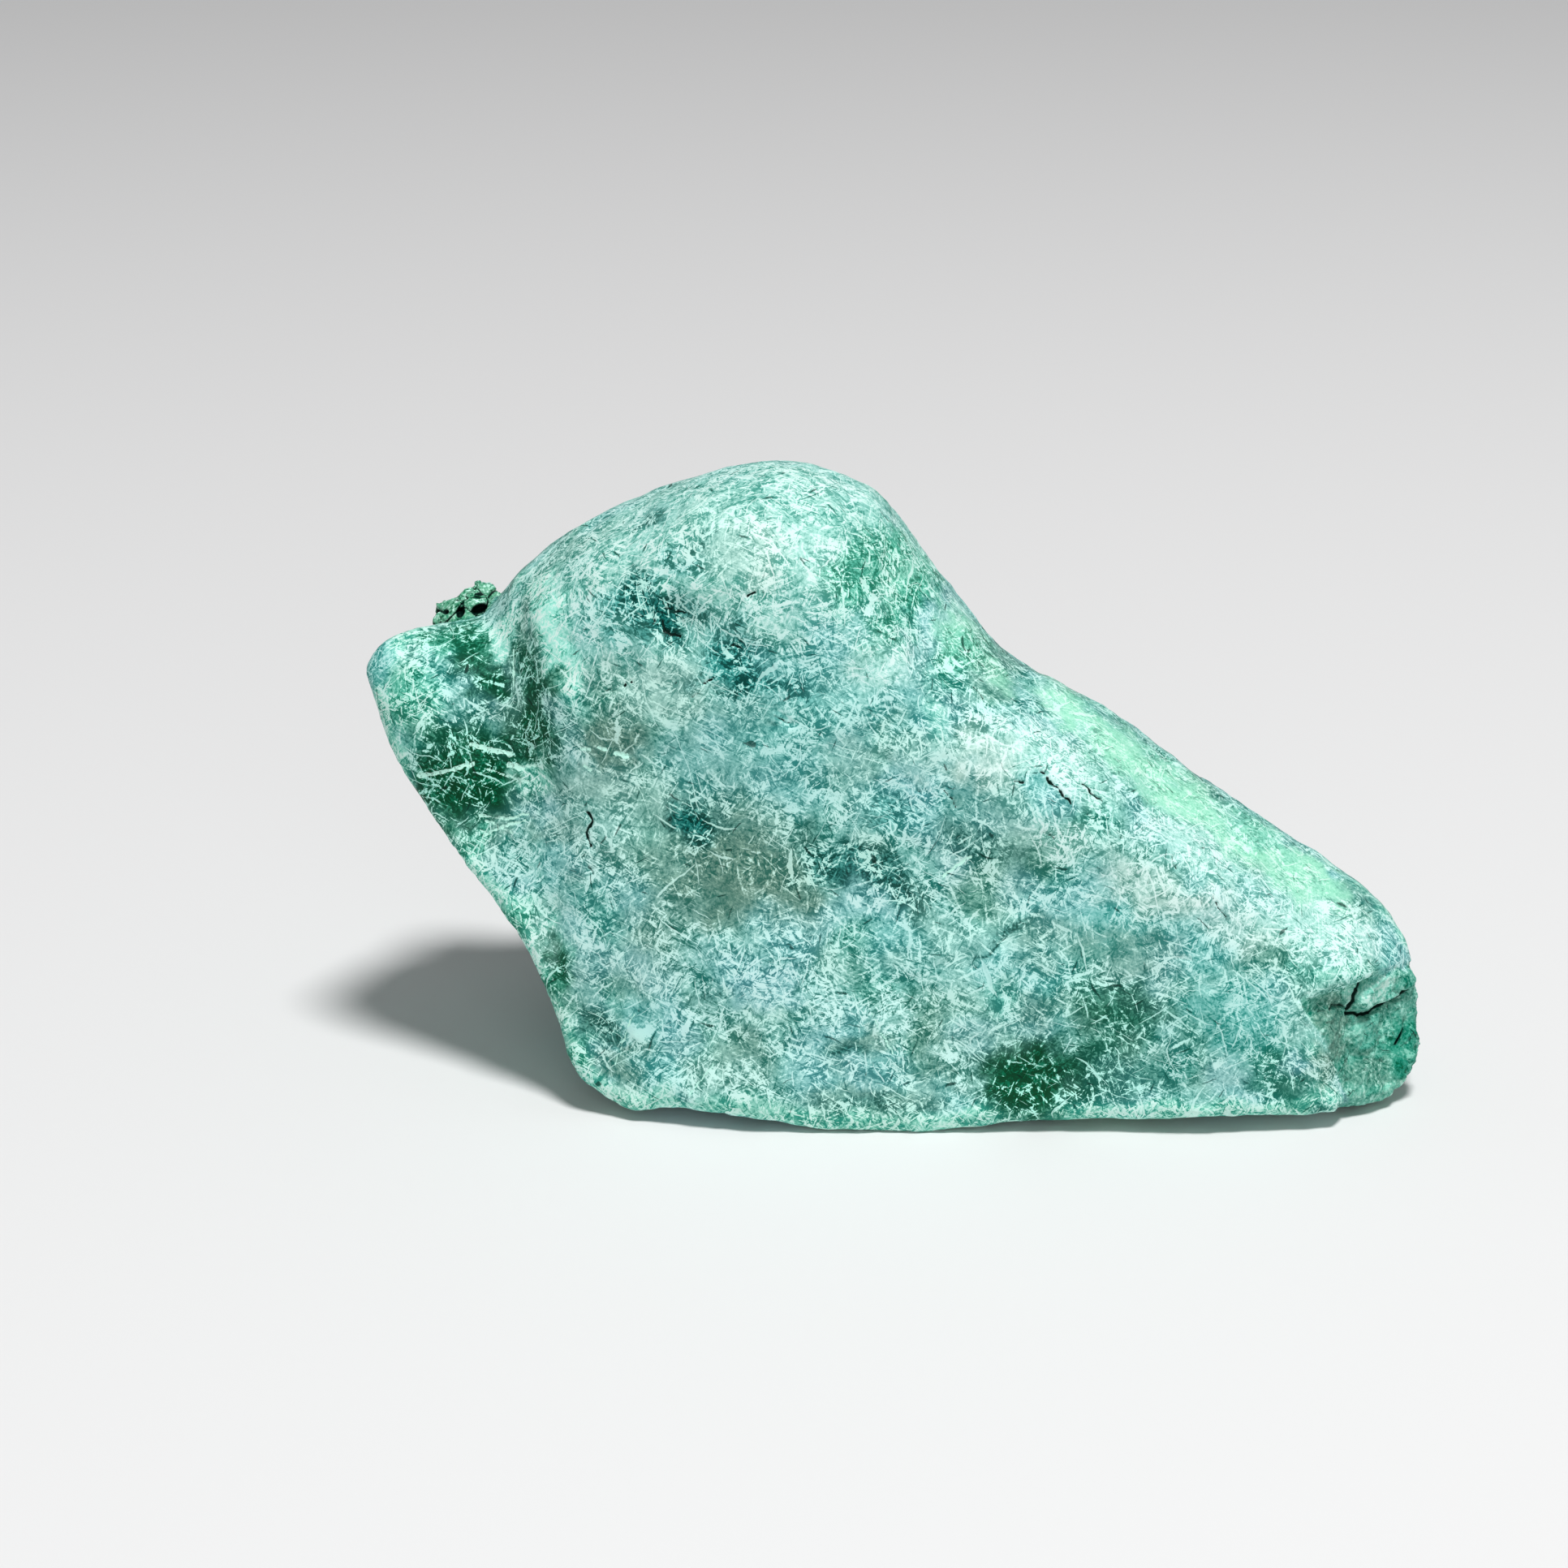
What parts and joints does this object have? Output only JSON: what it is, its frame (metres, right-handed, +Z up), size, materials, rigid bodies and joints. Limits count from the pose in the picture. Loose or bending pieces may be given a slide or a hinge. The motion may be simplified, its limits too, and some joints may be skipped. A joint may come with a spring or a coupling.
{
  "type": "raw malachite",
  "caption": "Tumbled lump of raw malachite, wedge-shaped with a domed top, a blunt nose and a broken tail, that lies on its flattest side.",
  "frame": {"origin": "centre of the bounding box's underside, on the surface that the stone lies on", "axes": "+X along the stone's length from the blunt nose to the broken tail, -Y out of the broad face, +Z up"},
  "size_m": [0.0598, 0.0268, 0.0352],
  "materials": {
    "malachite": "waxy, tumbled smooth, densely bruised with pale mint flecks and scratches over deep green"
  },
  "bodies": {
    "root": {"malachite": "malachite"}
  },
  "joints": []
}
